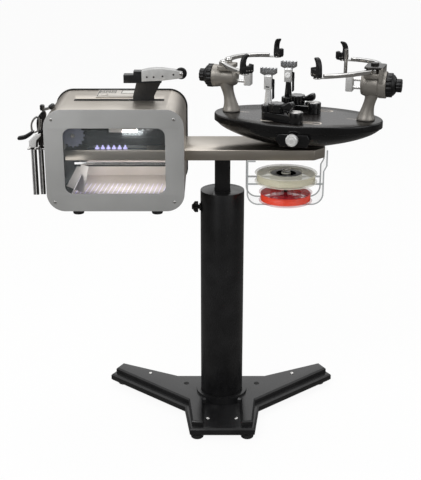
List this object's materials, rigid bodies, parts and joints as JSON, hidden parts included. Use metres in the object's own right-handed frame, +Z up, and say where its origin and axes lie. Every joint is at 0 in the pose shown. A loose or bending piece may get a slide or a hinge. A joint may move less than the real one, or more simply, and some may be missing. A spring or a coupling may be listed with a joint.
{
  "type": "racket stringing machine",
  "caption": "Electronic racket stringing machine on a column stand, with a window-fronted tension head, a sliding string gripper, and a turntable with side arms and string clamps.",
  "frame": {"origin": "centre of the base casting's underside, on the column's axis", "axes": "+X along the rail from the tension head towards the turntable, +Y towards the back, +Z up"},
  "size_m": [0.9452, 0.3663, 0.9983],
  "materials": {
    "black_paint": "satin black powder coat",
    "rubber_foot": "matt black rubber",
    "belt_rubber": "matt black toothed belt",
    "brushed_steel": "brushed stainless steel",
    "grey_paint": "grey satin paint",
    "grey_plastic": "grey plastic",
    "keypad_film": "pale grey keypad film",
    "pale_paint": "pale satin paint",
    "clear_acrylic": "clear acrylic",
    "cast_aluminium": "grey satin cast aluminium",
    "black_aluminium": "gloss black coat on aluminium",
    "black_shell": "gloss black shell",
    "black_plastic": "black moulded plastic",
    "chrome": "polished chrome",
    "clear_spool": "pale clear moulding",
    "red_spool": "dark red moulding",
    "cream_string": "cream nylon string",
    "red_string": "orange red nylon string"
  },
  "bodies": {
    "stand": {"base_casting": "black_paint", "front_left_foot": "rubber_foot", "front_right_foot": "rubber_foot", "left_arm_foot": "rubber_foot", "right_arm_foot": "rubber_foot", "column_tube": "black_paint"},
    "lock_knob": {"column_lock_knob": "black_plastic"},
    "mast": {"mast_tube": "black_paint", "rail_beam": "brushed_steel", "head_casing": "brushed_steel", "front_bezel": "grey_paint", "window_pane": "clear_acrylic", "rear_panel": "black_paint", "control_panel": "keypad_film", "interior_tray": "pale_paint", "light_sign": "clear_acrylic", "drive_motor": "black_paint", "drive_belt": "belt_rubber", "guide_rail": "brushed_steel", "reel_tray": "clear_acrylic", "reel_spindle": "black_plastic", "tool_holder": "chrome"},
    "button": {"start_button": "grey_plastic"},
    "gear": {"drive_gear": "cast_aluminium"},
    "puller": {"puller_bracket": "black_paint", "gripper_body": "grey_paint"},
    "wheel": {"gripper_wheel": "black_plastic"},
    "turntable": {"turntable_plate": "black_aluminium", "turntable_hull": "black_shell", "left_tower": "cast_aluminium", "right_tower": "cast_aluminium"},
    "brake": {"brake_knob": "chrome"},
    "upper_reel_body": {"upper_reel": "clear_spool", "upper_winding": "cream_string"},
    "lower_reel_body": {"lower_reel": "red_spool", "lower_winding": "red_string"},
    "left_tool": {"left_starting_clamp": "black_plastic"},
    "right_tool": {"right_starting_clamp": "chrome"},
    "right_support_body": {"right_support": "chrome"},
    "right_length_knob_body": {"right_length_knob": "black_plastic"},
    "right_arm_knob_body": {"right_arm_knob": "black_plastic"},
    "right_near_arm_body": {"right_near_arm": "chrome"},
    "right_near_hook_body": {"right_near_hook": "black_plastic"},
    "right_far_arm_body": {"right_far_arm": "chrome"},
    "right_far_hook_body": {"right_far_hook": "black_plastic"},
    "left_support_body": {"left_support": "chrome"},
    "left_length_knob_body": {"left_length_knob": "black_plastic"},
    "left_arm_knob_body": {"left_arm_knob": "black_plastic"},
    "left_near_arm_body": {"left_near_arm": "chrome"},
    "left_near_hook_body": {"left_near_hook": "black_plastic"},
    "left_far_arm_body": {"left_far_arm": "chrome"},
    "left_far_hook_body": {"left_far_hook": "black_plastic"},
    "front_clamp_base_body": {"front_clamp_base": "black_plastic"},
    "front_clamp_post_body": {"front_clamp_post": "chrome"},
    "front_clamp_lever_body": {"front_clamp_lever": "black_plastic"},
    "front_clamp_lock_body": {"front_clamp_lock": "black_plastic"},
    "rear_clamp_base_body": {"rear_clamp_base": "black_plastic"},
    "rear_clamp_post_body": {"rear_clamp_post": "chrome"},
    "rear_clamp_lever_body": {"rear_clamp_lever": "black_plastic"},
    "rear_clamp_lock_body": {"rear_clamp_lock": "black_plastic"}
  },
  "joints": [
    {"name": "mast_lift", "type": "slide", "parent": "stand", "child": "mast", "axis": [0, 0, 1], "range_m": [-0.07, 0.16]},
    {"name": "lock_turn", "type": "hinge", "parent": "stand", "child": "lock_knob", "pos_m": [-0.07, 0, 0.5697], "axis": [1, 0, 0], "range_deg": [-180, 180]},
    {"name": "puller_slide", "type": "slide", "parent": "mast", "child": "puller", "axis": [-1, 0, 0], "range_m": [0, 0.135]},
    {"name": "gear_turn", "type": "hinge", "parent": "mast", "child": "gear", "pos_m": [-0.372, -0.06, 0.7787], "axis": [0, 1, 0], "range_deg": [-620, 5]},
    {"name": "wheel_turn", "type": "hinge", "parent": "puller", "child": "wheel", "pos_m": [-0.104, -0.013, 0.9217], "axis": [0, 1, 0], "continuous": true},
    {"name": "button_press", "type": "slide", "parent": "mast", "child": "button", "axis": [0, 0, -1], "range_m": [0, 0.001], "stiffness_N_per_m": 400, "springref_m": -0.002},
    {"name": "table_spin", "type": "hinge", "parent": "mast", "child": "turntable", "pos_m": [0.189, 0, 0.745], "axis": [0, 0, 1], "continuous": true},
    {"name": "brake_turn", "type": "hinge", "parent": "turntable", "child": "brake", "pos_m": [0.16581, -0.1342, 0.7807], "axis": [0.299, 0.9542, 0], "range_deg": [-180, 180]},
    {"name": "upper_reel_spin", "type": "hinge", "parent": "mast", "child": "upper_reel_body", "pos_m": [0.16, -0.058, 0.668], "axis": [0, 0, 1], "continuous": true},
    {"name": "lower_reel_spin", "type": "hinge", "parent": "mast", "child": "lower_reel_body", "pos_m": [0.16, -0.058, 0.617], "axis": [0, 0, 1], "continuous": true},
    {"name": "left_tool_slide", "type": "slide", "parent": "mast", "child": "left_tool", "axis": [0, -1, 0], "range_m": [0, 0.05]},
    {"name": "right_tool_slide", "type": "slide", "parent": "mast", "child": "right_tool", "axis": [0, -1, 0], "range_m": [0, 0.05]},
    {"name": "right_support_slide", "type": "slide", "parent": "turntable", "child": "right_support_body", "axis": [-0.9542, 0.299, 0], "range_m": [-0.01, 0.025]},
    {"name": "right_length_turn", "type": "hinge", "parent": "turntable", "child": "right_length_knob_body", "pos_m": [0.41134, -0.06968, 0.9027], "axis": [0.9542, -0.299, 0], "range_deg": [-370, 910]},
    {"name": "right_near_arm_swing", "type": "hinge", "parent": "turntable", "child": "right_near_arm_body", "pos_m": [0.36313, -0.07972, 0.9387], "axis": [0, 0, 1], "range_deg": [-8, 5]},
    {"name": "right_near_hook_turn", "type": "hinge", "parent": "right_near_arm_body", "child": "right_near_hook_body", "pos_m": [0.22026, -0.15441, 0.9437], "axis": [0, 0, 1], "range_deg": [-15, 15]},
    {"name": "right_far_arm_swing", "type": "hinge", "parent": "turntable", "child": "right_far_arm_body", "pos_m": [0.37748, -0.03392, 0.9387], "axis": [0, 0, 1], "range_deg": [-5, 8]},
    {"name": "right_far_hook_turn", "type": "hinge", "parent": "right_far_arm_body", "child": "right_far_hook_body", "pos_m": [0.31424, 0.10537, 0.9437], "axis": [0, 0, 1], "range_deg": [-15, 15]},
    {"name": "right_arm_turn", "type": "hinge", "parent": "turntable", "child": "right_arm_knob_body", "pos_m": [0.42851, -0.07506, 0.9027], "axis": [0.9542, -0.299, 0], "range_deg": [-170, 170]},
    {"name": "left_support_slide", "type": "slide", "parent": "turntable", "child": "left_support_body", "axis": [0.9542, -0.299, 0], "range_m": [-0.01, 0.025]},
    {"name": "left_length_turn", "type": "hinge", "parent": "turntable", "child": "left_length_knob_body", "pos_m": [-0.03334, 0.06968, 0.9027], "axis": [-0.9542, 0.299, 0], "range_deg": [-370, 910]},
    {"name": "left_near_arm_swing", "type": "hinge", "parent": "turntable", "child": "left_near_arm_body", "pos_m": [0.00052, 0.03392, 0.9387], "axis": [0, 0, 1], "range_deg": [-5, 8]},
    {"name": "left_near_hook_turn", "type": "hinge", "parent": "left_near_arm_body", "child": "left_near_hook_body", "pos_m": [0.05135, -0.10148, 0.9437], "axis": [0, 0, 1], "range_deg": [-15, 15]},
    {"name": "left_far_arm_swing", "type": "hinge", "parent": "turntable", "child": "left_far_arm_body", "pos_m": [0.01487, 0.07972, 0.9387], "axis": [0, 0, 1], "range_deg": [-8, 5]},
    {"name": "left_far_hook_turn", "type": "hinge", "parent": "left_far_arm_body", "child": "left_far_hook_body", "pos_m": [0.14629, 0.158, 0.9437], "axis": [0, 0, 1], "range_deg": [-15, 15]},
    {"name": "left_arm_turn", "type": "hinge", "parent": "turntable", "child": "left_arm_knob_body", "pos_m": [-0.05051, 0.07506, 0.9027], "axis": [-0.9542, 0.299, 0], "range_deg": [-170, 170]},
    {"name": "front_clamp_swing", "type": "hinge", "parent": "turntable", "child": "front_clamp_base_body", "pos_m": [0.17604, -0.08816, 0.8257], "axis": [0, 0, 1], "range_deg": [-15, 15]},
    {"name": "front_clamp_post_turn", "type": "hinge", "parent": "front_clamp_base_body", "child": "front_clamp_post_body", "pos_m": [0.11201, -0.04504, 0.8357], "axis": [0, 0, 1], "range_deg": [-60, 60]},
    {"name": "front_clamp_jaw_tilt", "type": "hinge", "parent": "front_clamp_post_body", "child": "front_clamp_lever_body", "pos_m": [0.11306, -0.0417, 0.9007], "axis": [0.9542, -0.299, 0], "range_deg": [-8, 0]},
    {"name": "front_clamp_lock_turn", "type": "hinge", "parent": "front_clamp_base_body", "child": "front_clamp_lock_body", "pos_m": [0.11201, -0.04504, 0.8407], "axis": [0, 0, 1], "range_deg": [0, 45]},
    {"name": "rear_clamp_swing", "type": "hinge", "parent": "turntable", "child": "rear_clamp_base_body", "pos_m": [0.2312, 0.02765, 0.8257], "axis": [0, 0, 1], "range_deg": [-15, 15]},
    {"name": "rear_clamp_post_turn", "type": "hinge", "parent": "rear_clamp_base_body", "child": "rear_clamp_post_body", "pos_m": [0.16876, 0.05245, 0.8357], "axis": [0, 0, 1], "range_deg": [-60, 60]},
    {"name": "rear_clamp_jaw_tilt", "type": "hinge", "parent": "rear_clamp_post_body", "child": "rear_clamp_lever_body", "pos_m": [0.16981, 0.05579, 0.9007], "axis": [0.9542, -0.299, 0], "range_deg": [-8, 0]},
    {"name": "rear_clamp_lock_turn", "type": "hinge", "parent": "rear_clamp_base_body", "child": "rear_clamp_lock_body", "pos_m": [0.16876, 0.05245, 0.8407], "axis": [0, 0, 1], "range_deg": [-45, 0]}
  ],
  "couplings": [
    {"joint": "gear_turn", "follows": "puller_slide", "rad_per_m": -78.125},
    {"joint": "right_length_turn", "follows": "right_support_slide", "rad_per_m": 628.32},
    {"joint": "right_far_arm_swing", "follows": "right_near_arm_swing", "ratio": -1},
    {"joint": "right_arm_turn", "follows": "right_near_arm_swing", "ratio": 20},
    {"joint": "left_length_turn", "follows": "left_support_slide", "rad_per_m": 628.32},
    {"joint": "left_far_arm_swing", "follows": "left_near_arm_swing", "ratio": -1},
    {"joint": "left_arm_turn", "follows": "left_near_arm_swing", "ratio": 20}
  ]
}
